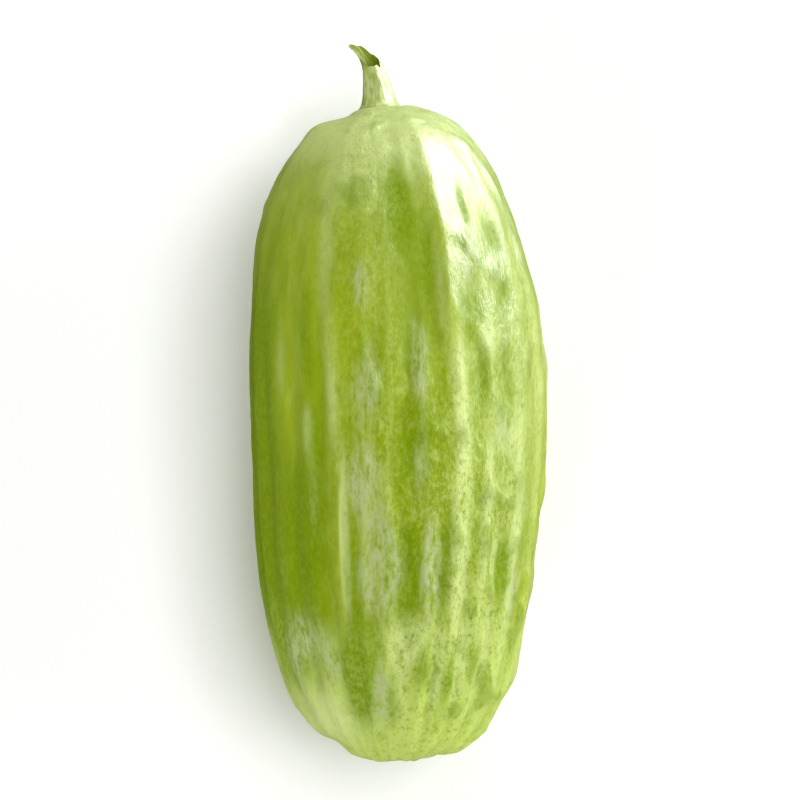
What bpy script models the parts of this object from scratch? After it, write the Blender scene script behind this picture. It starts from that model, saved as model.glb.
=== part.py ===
"""Snake melon: a stout, pale green, ribbed fruit as picked, lying on its side with its torn stem.

Metres, +Z up. The blossom end points to -Y and the stem to +Y. The fruit is shaped in its own frame, whose
y = 0 is its widest section, and is then stood on z = 0 with the middle of its box over the origin.
Azimuths turn round the fruit's axis: 0 faces up, 90 faces +X. Stations are measured from the blossom end.
"""

import math
import random
from collections import namedtuple

import bpy
import numpy as np
from mathutils import Vector, noise

MM = 0.001

# Outline of the fruit
BLOSSOM_HALF = 0.1140
STEM_HALF = 0.0866
MAX_RADIUS = 0.0464
BLOSSOM_FULLNESS = 3.0
STEM_FULLNESS = 2.62
BLOSSOM_TAPER = 0.085
STEM_TAPER = 0.05
TAPER_POWER = 1.5
BOW = 0.0053
BOW_POWER = 1.5
DIMPLE_DEPTH = 0.0028
DIMPLE_RADIUS = 0.0085
SCAR_HEIGHT = 0.0010
SCAR_RADIUS = 0.0032
SEAT_RADIUS = 0.0056
COLLAR_HEIGHT = 0.0014
COLLAR_RADIUS = 0.0080

# Broad ridges with flatter faces between them, and ribs: those of the face that looks up, as grown, and
# the rest spaced round the back
RIDGES_DEG = (-66, -22, 22.5, 70, 115, 160, 204, 249)
FACE_SINK = 0.0010
FACE_CRESTS_DEG = (-66, -51, -36, -22, -12, -3, 10.5, 22.5, 38, 54, 71)
BACK_RIBS = 14
BACK_JITTER_DEG = 2.0
GROOVE_DEPTH = 0.0009
GROOVE_SHARPNESS = 1.6
BLOSSOM_GROOVES = 1.45
STEM_GROOVES = 0.15
FAINT_RIBS = ((-45, 20, 0.7), (2, 14, 0.4))
WANDER_DEG = 1.6
FULL_RIB_RADIUS = 0.036
SMOOTH_ROUND_SEAT = 0.007

# Lumps, pits and knuckles
LUMP_HEIGHT = 0.0009
LUMP_SIZE = 0.034
BACK_PITS = 44
SEED = 11
Relief = namedtuple("Relief", "azimuth station half_length half_width height")

# Places in degrees and millimetres, heights below zero being pits
FACE_RELIEF = (
    Relief(9.5, 160, 26, 6.8, -1.1),
    Relief(13, 137, 9, 4.4, -0.5),
    Relief(5, 124, 9.5, 2.6, -0.7),
    Relief(17, 130, 6, 1.8, -0.6),
    Relief(4.5, 101, 10, 4.0, -0.8),
    Relief(5.5, 62, 15, 3.8, -1.2),
    Relief(19, 64, 15, 1.9, -0.7),
    Relief(-17, 65, 18, 3.0, -0.4),
    Relief(-20, 22, 10, 4.2, -0.8),
    Relief(-4, 22, 9, 2.6, -0.5),
    Relief(35, 171, 4, 1.6, -0.5),
    Relief(49, 160, 8, 3.4, -1.0),
    Relief(33, 143, 6, 3.0, -0.9),
    Relief(33, 121, 9, 2.6, -0.9),
    Relief(49, 140, 4, 3.0, -0.7),
    Relief(47, 116, 7, 2.6, -0.8),
    Relief(46, 95, 5, 3.4, -0.8),
    Relief(33, 82, 5, 2.4, -0.6),
    Relief(49, 62, 9, 3.4, -1.1),
    Relief(32, 40, 7, 2.4, -0.7),
    Relief(46, 28, 7, 3.0, -0.8),
    Relief(17, 30, 8, 2.4, -0.7),
    Relief(-43, 112, 20, 2.4, -0.6),
    Relief(-30, 120, 34, 2.2, -0.8),
    Relief(-44, 60, 24, 2.4, -0.6),
    Relief(-43, 28, 8, 3.0, -0.9),
    Relief(-59, 90, 36, 2.6, -0.7),
    Relief(23.5, 118, 9, 2.4, 0.9),
    Relief(21, 152, 34, 3.2, 0.9),
    Relief(-22, 66, 34, 1.8, 0.6),
    Relief(87, 100, 19, 9, 0.9),
    Relief(88, 121, 4, 6, 0.6),
    Relief(88, 131, 4, 6, -0.5),
    Relief(88, 85, 4, 6, 0.7),
    Relief(88, 77, 3, 6, -0.5),
    Relief(88, 43, 9, 8, -0.8),
    Relief(88, 27, 7, 6, 0.9),
    Relief(88, 15.5, 2.6, 6, -0.6),
    Relief(84, 10.5, 3.2, 6, 1.0),
    Relief(80, 1.5, 5, 9, -1.4),
    Relief(55, 1.0, 6, 8, -1.3),
    Relief(-88, 24, 7, 6, 0.5),
    Relief(-86, 14.5, 3.0, 6, -0.6),
    Relief(-86, 4.5, 6, 14, -3.4),
    Relief(-86, 11, 3, 8, -1.0),
    Relief(-88, 173, 20, 22, 1.2),
    Relief(-88, 144, 12, 10, -0.6),
    Relief(80, 168, 25, 14, -1.4),
    Relief(-45, 176, 12, 9, -0.6),
    Relief(-80, 199.8, 4, 6, -1.2),
    Relief(-80, 196, 5, 13, 1.3),
    Relief(75, 200.4, 3, 6, 0.6),
)

# Where it lies: the flat spot under its weight, and how far the stem end is lifted for it
REST_DEPTH = 0.0009
REST_STATION = 0.1010
REST_HALF_ANGLE_DEG = 24
REST_HALF_LENGTH = 0.034
REST_TILT_DEG = 1.2

# Stem
STEM_GAP = 0.0003
STEM_FOOT_RADIUS = 0.0050
STEM_FLARE = 0.0006
STEM_FLARE_LENGTH = 0.0022
STEM_SLIMS_BY = 0.0029
STEM_SLIM_LENGTH = 0.020
STEM_LEAN_DEG = 7
STEM_HOOK_DEG = 50
STEM_HOOK_POWER = 2.3
STEM_HOOK_LENGTH = 0.022
STEM_RIDGES = 5
STEM_RIDGE_SHARE = 0.07
TEAR_START = 0.0118
TEAR_REACH = 0.0092
TEAR_POWER = 1.1
TEAR_FACES_DEG = 58
TEAR_POINT = 0.0022
TEAR_POINT_HALF_ANGLE = 0.42
TEAR_RAGGED = 0.00045
TEAR_FLOOR = 0.0104
TEAR_SCOOP = 0.6

# Mesh
COLUMNS_PER_RIB = 4
FRUIT_ROWS = 45
END_CROWDING = 0.42
CURVE_SAMPLES = 3000
STEM_COLUMNS = 30
STEM_ROWS = 14
TEAR_ROWS = 3

FRUIT_GREEN = (0.36, 0.50, 0.10, 1)
STEM_GREEN = (0.40, 0.47, 0.13, 1)


def smoothstep(x):
    x = np.clip(x, 0.0, 1.0)
    return x * x * (3 - 2 * x)


def half_outline(length, fullness, taper):
    """A superellipse quarter from the pole to the widest section: distance from that section, and radius."""
    turn = np.linspace(0, math.pi / 2, CURVE_SAMPLES)
    along = np.cos(turn) ** (2 / fullness)
    radius = MAX_RADIUS * np.sin(turn) ** (2 / fullness) * (1 - taper * along**TAPER_POWER)
    return along * length, radius


def outline():
    """The turned outline from the blossom pole to the rim of the stem's seat: y and radius."""
    along, radius = half_outline(BLOSSOM_HALF, BLOSSOM_FULLNESS, BLOSSOM_TAPER)
    dimple = DIMPLE_DEPTH * np.exp(-((radius / DIMPLE_RADIUS) ** 2))
    scar = SCAR_HEIGHT * np.exp(-((radius / SCAR_RADIUS) ** 4))
    blossom = np.stack((-along + dimple - scar, radius), 1)
    along, radius = half_outline(STEM_HALF, STEM_FULLNESS, STEM_TAPER)
    collar = COLLAR_HEIGHT * np.exp(-((radius / COLLAR_RADIUS) ** 2))
    stem = np.stack((along + collar, radius), 1)[::-1]
    curve = np.concatenate((blossom, stem[1:]))
    return curve[(curve[:, 0] < 0) | (curve[:, 1] >= SEAT_RADIUS)]


def meridian(rows):
    """Stations along the outline, closer together at its ends: y, radius and the outward normal's two parts."""
    curve = outline()
    steps = np.linalg.norm(np.diff(curve, axis=0), axis=1)
    length = np.concatenate(([0], np.cumsum(steps)))
    even = np.linspace(0, 1, rows)
    wanted = length[-1] * (even - END_CROWDING / (2 * math.pi) * np.sin(2 * math.pi * even))
    y = np.interp(wanted, length, curve[:, 0])
    radius = np.interp(wanted, length, curve[:, 1])
    slope_y = np.gradient(y, wanted)
    slope_radius = np.gradient(radius, wanted)
    size = np.hypot(slope_y, slope_radius)
    return y, radius, -slope_radius / size, slope_y / size


def crest_azimuths():
    """Azimuth of every rib's crest, in radians, going round once."""
    draw = random.Random(SEED)
    first, last = FACE_CRESTS_DEG[-1], FACE_CRESTS_DEG[0] + 360
    spacing = (last - first) / (BACK_RIBS + 1)
    back = [
        first + spacing * (i + 1) + draw.uniform(-BACK_JITTER_DEG, BACK_JITTER_DEG) for i in range(BACK_RIBS)
    ]
    return np.radians([*FACE_CRESTS_DEG, *back])


def smooth_noise(points, size, offset):
    """Perlin noise at each point, with features about that size."""
    flat = points.reshape(-1, 3) / size + offset
    return np.array([noise.noise(Vector(p)) for p in flat]).reshape(points.shape[:-1])


def base_point(azimuth, y, radius):
    """Points of the turned body at an azimuth, a station's y and a radius."""
    return np.stack(np.broadcast_arrays(radius * np.sin(azimuth), y, radius * np.cos(azimuth)), -1)


def all_relief():
    """The pits and knuckles of the face, and seeded pits in the grooves of the back."""
    draw = random.Random(SEED)
    crests = np.degrees(crest_azimuths())
    back = crests[len(FACE_CRESTS_DEG) - 1 :]
    pits = []
    for _ in range(BACK_PITS):
        rib = draw.randrange(len(back) - 1)
        pits.append(
            Relief(
                (back[rib] + back[rib + 1]) / 2 + draw.uniform(-1.5, 1.5),
                draw.uniform(18, 178),
                draw.uniform(5, 14),
                draw.uniform(2.0, 3.6),
                -draw.uniform(0.4, 1.0),
            )
        )
    return [*FACE_RELIEF, *pits]


def relief_height(points):
    """Sum of every pit and knuckle at each point of the turned body, before it bows."""
    y, radius, normal_y, normal_radius = meridian(400)
    height = np.zeros(points.shape[:-1])
    for spot in all_relief():
        azimuth = math.radians(spot.azimuth)
        spot_y = spot.station * MM - BLOSSOM_HALF
        row = int(np.argmin(np.abs(y - spot_y)))
        centre = base_point(azimuth, y[row], radius[row])
        around = np.array((math.cos(azimuth), 0, -math.sin(azimuth)))
        out = base_point(azimuth, normal_y[row], normal_radius[row])
        lengthwise = np.cross(out, around)
        away = points - centre
        across = (away @ around) / (spot.half_width * MM)
        along = (away @ lengthwise) / (spot.half_length * MM)
        near = np.abs(away @ out) < MAX_RADIUS / 2
        height += spot.height * MM * np.exp(-(across**2) - along**2) * near
    return height


def rest_share(azimuth, y):
    """1 in the middle of the spot that the fruit lies on, 0 away from it."""
    turned = np.degrees(np.abs(np.angle(np.exp(1j * (azimuth - math.pi)))))
    along = (y - (REST_STATION - BLOSSOM_HALF)) / REST_HALF_LENGTH
    return np.exp(-((turned / REST_HALF_ANGLE_DEG) ** 4) - along**4)


def bow(points):
    """Leans the stem half to -X along a smooth curve, turning each cross-section with it."""
    share = np.clip(points[..., 1] / STEM_HALF, 0, None)
    lean = -np.arctan(BOW_POWER * BOW / STEM_HALF * share ** (BOW_POWER - 1))
    across = points[..., 0]
    bent = points.copy()
    bent[..., 0] = -BOW * share**BOW_POWER + across * np.cos(lean)
    bent[..., 1] = points[..., 1] - across * np.sin(lean)
    return bent


def tilt(points):
    """Turns points about the X axis so that the fruit lies level on its flat spot."""
    angle = math.radians(REST_TILT_DEG)
    y, z = points[..., 1], points[..., 2]
    turned = points.copy()
    turned[..., 1] = y * math.cos(angle) - z * math.sin(angle)
    turned[..., 2] = y * math.sin(angle) + z * math.cos(angle)
    return turned


def rib_share(azimuth):
    """How deep the ribs are at each azimuth: faint on two smoother faces, full elsewhere."""
    turned = np.degrees(np.angle(np.exp(1j * azimuth)))
    share = np.ones_like(turned)
    for middle, spread, loss in FAINT_RIBS:
        share -= loss * np.exp(-(((turned - middle) / spread) ** 2))
    return share


def fruit_surface(rib_steps, rows):
    """Points of the ribbed skin as rows of columns, the blossom pole's row left out."""
    y, radius, normal_y, normal_radius = (a[1:, None] for a in meridian(rows + 1))
    crests = crest_azimuths()
    ribs = len(crests)
    position = np.arange(ribs * rib_steps)[None, :] / rib_steps
    azimuth = np.interp(position, np.arange(ribs + 1), [*crests, crests[0] + 2 * math.pi])
    start = base_point(azimuth, y, radius)
    wander = smooth_noise(start * (1, 0.35, 1), 0.016, 3.7) * math.radians(WANDER_DEG) * 2
    azimuth = azimuth + wander
    start = base_point(azimuth, y, radius)

    station_share = (y + BLOSSOM_HALF) / (BLOSSOM_HALF + STEM_HALF)
    strength = BLOSSOM_GROOVES + (STEM_GROOVES - BLOSSOM_GROOVES) * station_share
    strength = strength * (1 + 0.7 * smooth_noise(start * (1, 0.4, 1), 0.011, 9.2))
    groove = np.abs(np.sin(math.pi * position)) ** GROOVE_SHARPNESS
    full = smoothstep(radius / FULL_RIB_RADIUS) * rib_share(azimuth)
    ribs_in = -GROOVE_DEPTH * strength * groove * full
    ridges = np.radians([*RIDGES_DEG, RIDGES_DEG[0] + 360])
    face = np.interp(azimuth, ridges, np.arange(len(ridges)))
    faces_in = -FACE_SINK * np.abs(np.sin(math.pi * face)) ** GROOVE_SHARPNESS * radius / MAX_RADIUS
    lumps = LUMP_HEIGHT * smooth_noise(start, LUMP_SIZE, 1.3)
    calm = 1 - rest_share(azimuth, y)
    seat = smoothstep((radius - SEAT_RADIUS) / SMOOTH_ROUND_SEAT)
    height = (ribs_in + faces_in + lumps + relief_height(start)) * calm * seat
    out = base_point(azimuth, normal_y, normal_radius)
    return bow(start + out * height[..., None])


def new_object(name, vertices, faces, colour, roughness):
    mesh = bpy.data.meshes.new(name)
    mesh.from_pydata([tuple(v) for v in vertices], [], faces)
    mesh.validate()
    mesh.shade_smooth()
    mesh.set_sharp_from_angle(angle=math.radians(60))
    material = bpy.data.materials.new(name)
    material.use_nodes = True
    shader = material.node_tree.nodes["Principled BSDF"]
    shader.inputs["Base Color"].default_value = colour
    shader.inputs["Roughness"].default_value = roughness
    shader.inputs["Metallic"].default_value = 0.0
    mesh.materials.append(material)
    made = bpy.data.objects.new(name, mesh)
    bpy.context.collection.objects.link(made)
    return made


def band_faces(rows, columns):
    """Quads between neighbouring rings of a grid that closes round its columns."""
    faces = []
    for row in range(rows - 1):
        for column in range(columns):
            after = (column + 1) % columns
            low, high = row * columns, (row + 1) * columns
            faces.append((low + column, low + after, high + after, high + column))
    return faces


def fan_faces(ring_start, columns, hub, outward=True):
    """Triangles from a ring to one point."""
    faces = []
    for column in range(columns):
        after = (column + 1) % columns
        pair = (ring_start + column, ring_start + after)
        faces.append((*pair, hub) if outward else (*pair[::-1], hub))
    return faces


def make_fruit():
    """The whole fruit: skin from the blossom pole to the stem's seat, with a flat spot where it lies."""
    grid = fruit_surface(COLUMNS_PER_RIB, FRUIT_ROWS)
    rows, columns, _ = grid.shape
    pole = bow(base_point(0.0, meridian(400)[0][0], 0.0))
    vertices = tilt(np.array([*grid.reshape(-1, 3), pole]))
    vertices[:, 2] = np.maximum(vertices[:, 2], vertices[:, 2].min() + REST_DEPTH)
    faces = band_faces(rows, columns)
    faces += fan_faces(0, columns, rows * columns, outward=False)
    faces.append(tuple(range((rows - 1) * columns, rows * columns)))
    return new_object("fruit", vertices, faces, FRUIT_GREEN, 0.45)


def stem_section(distance):
    """Centre, sideways direction and radius of the stem at each distance from its foot."""
    fine = np.linspace(0, STEM_HOOK_LENGTH * 1.3, 600)
    turn = np.radians(STEM_LEAN_DEG + STEM_HOOK_DEG * (fine / STEM_HOOK_LENGTH) ** STEM_HOOK_POWER)
    step = fine[1] - fine[0]
    x = np.interp(distance, fine, -np.cumsum(np.sin(turn)) * step)
    y = np.interp(distance, fine, np.cumsum(np.cos(turn)) * step)
    turned = np.interp(distance, fine, turn)
    sideways = np.stack((np.cos(turned), np.sin(turned), np.zeros_like(turned)), -1)
    centre = np.stack((x, y, np.zeros_like(x)), -1)
    radius = STEM_FOOT_RADIUS - STEM_SLIMS_BY * smoothstep(distance / STEM_SLIM_LENGTH)
    radius = radius + STEM_FLARE * np.exp(-np.clip(distance, 0, None) / STEM_FLARE_LENGTH)
    return centre, sideways, radius


def torn_reach(angle):
    """How far the stem's wall reaches at each angle round it: least where the tear faces, most behind."""
    turned = np.mod(angle - math.radians(TEAR_FACES_DEG), 2 * math.pi)
    back = (0.5 - 0.5 * np.cos(turned)) ** TEAR_POWER
    point = np.exp(-(((turned - math.pi) / TEAR_POINT_HALF_ANGLE) ** 2))
    ragged = np.sin(5 * turned + 0.6) + 0.6 * np.sin(9 * turned + 2.1)
    return TEAR_START + TEAR_REACH * back + TEAR_POINT * point + TEAR_RAGGED * ragged


def stem_surface(columns, rows, torn_rows):
    """Rings of the stem's wall up to its torn rim, then rings down the scooped tear, and its middle."""
    angle = np.arange(columns)[None, :] * 2 * math.pi / columns
    reach = torn_reach(angle)
    up_wall = np.linspace(0, 1, rows)[:, None]
    inward = np.linspace(0, 1, torn_rows + 2)[1:-1, None]
    distance = np.concatenate((up_wall * reach, reach + inward * (TEAR_FLOOR - reach)))
    wall_share = np.concatenate((np.ones_like(up_wall), (1 - inward) ** TEAR_SCOOP))
    centre, sideways, radius = stem_section(distance)
    ridge = 1 + STEM_RIDGE_SHARE * np.cos(STEM_RIDGES * angle) * smoothstep(distance / STEM_FOOT_RADIUS)
    spread = (radius * ridge * wall_share)[..., None]
    up = np.array((0.0, 0.0, 1.0))
    rings = centre + spread * (np.cos(angle)[..., None] * sideways + np.sin(angle)[..., None] * up)
    return rings, stem_section(TEAR_FLOOR)[0]


def make_stem():
    """The tapering, ridged stem, hooked towards -X and torn off at a slant."""
    rings, middle = stem_surface(STEM_COLUMNS, STEM_ROWS, TEAR_ROWS)
    rows, columns, _ = rings.shape
    y_seat = meridian(400)[0][-1]
    foot = bow(np.array((0.0, y_seat + STEM_GAP, 0.0)))
    vertices = tilt(np.array([*rings.reshape(-1, 3), middle]) + foot)
    faces = [face[::-1] for face in band_faces(rows, columns)]
    faces += fan_faces((rows - 1) * columns, columns, rows * columns, outward=False)
    faces.append(tuple(range(columns)))
    return new_object("stem", vertices, faces, STEM_GREEN, 0.6)


def stand_on_origin(objects):
    """Moves the meshes so that their common box stands on z = 0, centred over the origin."""
    corners = np.array([v.co for o in objects for v in o.data.vertices])
    low, high = corners.min(0), corners.max(0)
    shift = Vector((-(low[0] + high[0]) / 2, -(low[1] + high[1]) / 2, -low[2]))
    for o in objects:
        for vertex in o.data.vertices:
            vertex.co += shift


def main():
    for old in list(bpy.data.objects):
        bpy.data.objects.remove(old)
    stand_on_origin([make_fruit(), make_stem()])


main()
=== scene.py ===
"""Snake melon lying on a pale floor, seen from straight above: its fine skin, its stem and their finish."""

import math
import random
from collections import namedtuple

import bpy
import numpy as np
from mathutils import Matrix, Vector, noise


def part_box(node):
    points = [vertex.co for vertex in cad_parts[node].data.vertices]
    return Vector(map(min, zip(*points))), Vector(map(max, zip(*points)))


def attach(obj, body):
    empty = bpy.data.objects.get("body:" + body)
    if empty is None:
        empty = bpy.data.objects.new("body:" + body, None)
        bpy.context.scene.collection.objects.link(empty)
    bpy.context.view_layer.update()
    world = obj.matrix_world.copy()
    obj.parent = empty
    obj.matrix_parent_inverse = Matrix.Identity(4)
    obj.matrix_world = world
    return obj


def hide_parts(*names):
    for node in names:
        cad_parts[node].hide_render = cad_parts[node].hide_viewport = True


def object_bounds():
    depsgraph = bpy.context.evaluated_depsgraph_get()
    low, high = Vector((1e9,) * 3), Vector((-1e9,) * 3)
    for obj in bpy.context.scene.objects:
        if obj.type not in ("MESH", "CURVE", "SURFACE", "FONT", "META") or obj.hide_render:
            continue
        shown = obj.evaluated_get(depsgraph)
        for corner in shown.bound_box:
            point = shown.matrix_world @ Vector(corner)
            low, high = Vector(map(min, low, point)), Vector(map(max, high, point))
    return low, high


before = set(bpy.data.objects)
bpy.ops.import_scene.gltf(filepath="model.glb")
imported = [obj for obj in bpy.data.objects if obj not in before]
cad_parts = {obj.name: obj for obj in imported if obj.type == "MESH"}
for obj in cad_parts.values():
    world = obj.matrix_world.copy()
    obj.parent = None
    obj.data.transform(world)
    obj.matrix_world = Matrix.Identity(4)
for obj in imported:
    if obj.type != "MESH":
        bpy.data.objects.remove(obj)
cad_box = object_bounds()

MM = 0.001

# Outline of the fruit, in metres, with y = 0 at its widest section, as the solids have it
BLOSSOM_HALF = 0.1140
STEM_HALF = 0.0866
MAX_RADIUS = 0.0464
BLOSSOM_FULLNESS = 3.0
STEM_FULLNESS = 2.62
BLOSSOM_TAPER = 0.085
STEM_TAPER = 0.05
TAPER_POWER = 1.5
BOW = 0.0053
BOW_POWER = 1.5
DIMPLE_DEPTH = 0.0028
DIMPLE_RADIUS = 0.0085
SCAR_HEIGHT = 0.0010
SCAR_RADIUS = 0.0032
SEAT_RADIUS = 0.0056
COLLAR_HEIGHT = 0.0014
COLLAR_RADIUS = 0.0080

# Broad ridges, with flatter faces between them, and the finer ribs
RIDGES_DEG = (-66, -22, 22.5, 70, 115, 160, 204, 249)
FACE_SINK = 0.0010
FACE_CRESTS_DEG = (-66, -51, -36, -22, -12, -3, 10.5, 22.5, 38, 54, 71)
BACK_RIBS = 14
BACK_JITTER_DEG = 2.0
GROOVE_DEPTH = 0.0009
GROOVE_SHARPNESS = 1.6
BLOSSOM_GROOVES = 1.45
STEM_GROOVES = 0.15
FAINT_RIBS = ((-45, 20, 0.7), (2, 14, 0.4))
WANDER_DEG = 1.6
FULL_RIB_RADIUS = 0.036
SMOOTH_ROUND_SEAT = 0.007

# Noise: how much of the distance along the fruit counts, the size of its features, and an offset of its own
Field = namedtuple("Field", "lengthwise size offset")
WANDER_FIELD = Field(0.35, 0.016, 3.7)
GROOVE_FIELD = Field(0.4, 0.011, 9.2)
LUMP_FIELD = Field(1, 0.034, 1.3)
KNUCKLE_FIELD = Field(0.7, 0.0075, 21.0)
DENT_FIELD = Field(0.5, 0.0058, 5.5)
STRAND_FIELD = Field(0.12, 0.0026, 31.0)
GRAIN_FIELD = Field(0.6, 0.0024, 41.0)

# Lumps and uneven grooves of the whole body, then the small forms that only the fine mesh has
LUMP_HEIGHT = 0.0009
GROOVES_VARY_BY = 0.7
KNUCKLE_HEIGHT = 0.00032
KNUCKLE_LOSS_IN_GROOVES = 0.4
DENT_DEPTH = 0.0012
DENT_THRESHOLD = 0.08
DENT_SLANT = 0.25
STRAND_HEIGHT = 0.00006
GRAIN_HEIGHT = 0.00009

# Where the small forms and flecks are fainter or stronger: degrees round the fruit from its top, then
# millimetres from its blossom end
Area = namedtuple("Area", "azimuth half_angle steepness station half_length strength")
SMOOTH_FACE = Area(-55, 34, 4, 0, math.inf, 0.6)
SMOOTH_GROOVE = Area(9, 9, 2, 160, 42, 0.6)
CRUMPLED_FACE = Area(28, 34, 4, 62, 54, 0.9)
PEBBLED_FACE = Area(46, 18, 4, 128, 38, 0.6)

# Pits, below zero, and knuckles: an azimuth in degrees from the top, and millimetres from the blossom end
SEED = 11
Spot = namedtuple("Spot", "azimuth station half_length half_width height")
FACE_RELIEF = (
    Spot(9.5, 160, 26, 6.8, -1.1),
    Spot(13, 137, 9, 4.4, -0.5),
    Spot(5, 124, 9.5, 2.6, -0.7),
    Spot(17, 130, 6, 1.8, -0.6),
    Spot(4.5, 101, 10, 4.0, -0.8),
    Spot(5.5, 62, 15, 3.8, -1.2),
    Spot(19, 64, 15, 1.9, -0.7),
    Spot(-17, 65, 18, 3.0, -0.4),
    Spot(-20, 22, 10, 4.2, -0.8),
    Spot(-4, 22, 9, 2.6, -0.5),
    Spot(35, 171, 4, 1.6, -0.5),
    Spot(49, 160, 8, 3.4, -1.0),
    Spot(33, 143, 6, 3.0, -0.9),
    Spot(33, 121, 9, 2.6, -0.9),
    Spot(49, 140, 4, 3.0, -0.7),
    Spot(47, 116, 7, 2.6, -0.8),
    Spot(46, 95, 5, 3.4, -0.8),
    Spot(33, 82, 5, 2.4, -0.6),
    Spot(49, 62, 9, 3.4, -1.1),
    Spot(32, 40, 7, 2.4, -0.7),
    Spot(46, 28, 7, 3.0, -0.8),
    Spot(17, 30, 8, 2.4, -0.7),
    Spot(-43, 112, 20, 2.4, -0.6),
    Spot(-30, 120, 34, 2.2, -0.8),
    Spot(-44, 60, 24, 2.4, -0.6),
    Spot(-43, 28, 8, 3.0, -0.9),
    Spot(-59, 90, 36, 2.6, -0.7),
    Spot(23.5, 118, 9, 2.4, 0.9),
    Spot(21, 152, 34, 3.2, 0.9),
    Spot(-22, 66, 34, 1.8, 0.6),
    Spot(87, 100, 19, 9, 0.9),
    Spot(88, 121, 4, 6, 0.6),
    Spot(88, 131, 4, 6, -0.5),
    Spot(88, 85, 4, 6, 0.7),
    Spot(88, 77, 3, 6, -0.5),
    Spot(88, 43, 9, 8, -0.8),
    Spot(88, 27, 7, 6, 0.9),
    Spot(88, 15.5, 2.6, 6, -0.6),
    Spot(84, 10.5, 3.2, 6, 1.0),
    Spot(80, 1.5, 5, 9, -1.4),
    Spot(55, 1.0, 6, 8, -1.3),
    Spot(-88, 24, 7, 6, 0.5),
    Spot(-86, 14.5, 3.0, 6, -0.6),
    Spot(-86, 4.5, 6, 14, -3.4),
    Spot(-86, 11, 3, 8, -1.0),
    Spot(-88, 173, 20, 22, 1.2),
    Spot(-88, 144, 12, 10, -0.6),
    Spot(80, 168, 25, 14, -1.4),
    Spot(-45, 176, 12, 9, -0.6),
    Spot(-80, 199.8, 4, 6, -1.2),
    Spot(-80, 196, 5, 13, 1.3),
    Spot(75, 200.4, 3, 6, 0.6),
)

# Seeded pits round the back: the last four values of each spot are drawn from these ranges
BACK_PITS = 44
BACK_PIT_OFF_GROOVE_DEG = 1.5
BACK_PIT_RANGES = ((18, 178), (5, 14), (2.0, 3.6), (-0.4, -1.0))

# Crinkled silvery patches: the same kind of list, whose last number is how strongly they show
SILVER_PATCHES = (
    Spot(-6, 64, 16, 5.6, 1.5),
    Spot(-14, 84, 9, 3.6, 0.5),
    Spot(14, 63, 16, 3.0, 1.3),
    Spot(-44, 41, 9, 9.5, 0.7),
    Spot(-30, 32, 8, 3.4, 0.55),
    Spot(-56, 33, 7, 3.4, 0.9),
    Spot(-8, 25, 10, 2.6, 1.2),
    Spot(-11, 116, 12, 5.0, 0.9),
    Spot(-12, 146, 8, 3.4, 0.8),
    Spot(9, 123, 12, 2.8, 1.1),
    Spot(9, 92, 12, 3.0, 0.6),
    Spot(-13, 92, 8, 6.0, 0.7),
    Spot(58, 53, 8, 2.6, 1.2),
    Spot(30, 155, 12, 5.0, 0.6),
    Spot(44, 104, 6, 3.0, 0.7),
    Spot(38, 83, 5, 3.0, 0.6),
)
BACK_SILVER = 26
BACK_SILVER_MARGIN_DEG = 8
BACK_SILVER_RANGES = ((20, 170), (6, 17), (1.6, 4.5), (0.5, 1.0))

# Deeper green places, and pale lines along the ribs, in the same way. Some deeper green places are painted
# shade, down the left side turned from the light and in the groove left of the lit ridge. Some pale ones are
# painted light, down the lit right side and at the lower left of the blossom end
DARK_PLACES_AND_SHADE = (
    # painted shade: the whole left side, turned from the light, made darker
    Spot(-65, 90, 58, 10.5, 1.9),
    Spot(-36, 127, 24, 4.0, 0.7),
    # painted shade: these two darken more of the left side turned from the light
    Spot(-46, 152, 24, 14, 0.25),
    Spot(-38, 72, 24, 8.5, 1.1),
    Spot(-30, 100, 20, 3.0, 0.5),
    # painted shade: these four darken the groove left of the lit ridge, which faces away from the light
    Spot(4, 172, 12, 3.4, 0.9),
    Spot(7, 163, 22, 7.0, 0.6),
    Spot(14, 143, 24, 4.2, 0.65),
    Spot(7, 98, 13, 6.0, 0.8),
    Spot(-10, 130, 12, 4.0, 0.4),
    Spot(4.5, 62, 15, 4.0, 1.6),
    Spot(19, 64, 17, 2.0, 0.9),
    Spot(-17, 66, 18, 2.4, 0.6),
    Spot(-18, 28, 14, 5.0, 1.2),
    Spot(-10, 45, 17, 9.0, 0.5),
    Spot(-48, 44, 12, 13, 0.4),
    Spot(-2, 21, 9, 2.4, 0.7),
    Spot(49, 159, 7, 4.0, 0.9),
    Spot(35, 168, 8, 1.8, 1.0),
    Spot(30, 138, 8, 4.4, 0.9),
    Spot(48, 140, 6, 3.0, 0.6),
    Spot(33, 115, 10, 3.2, 0.55),
    Spot(48, 116, 8, 2.8, 0.6),
    Spot(45, 93, 6, 4.0, 0.5),
    Spot(49, 61, 10, 3.6, 1.1),
    Spot(33, 70, 12, 3.4, 0.5),
    Spot(38, 34, 8, 3.0, 0.6),
    Spot(25, 28, 12, 2.2, 0.85),
    Spot(12, 34, 10, 3.0, 0.85),
    Spot(-42, 36, 9, 11, 0.45),
    Spot(4, 41, 5, 7.0, -0.45),
)
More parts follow.
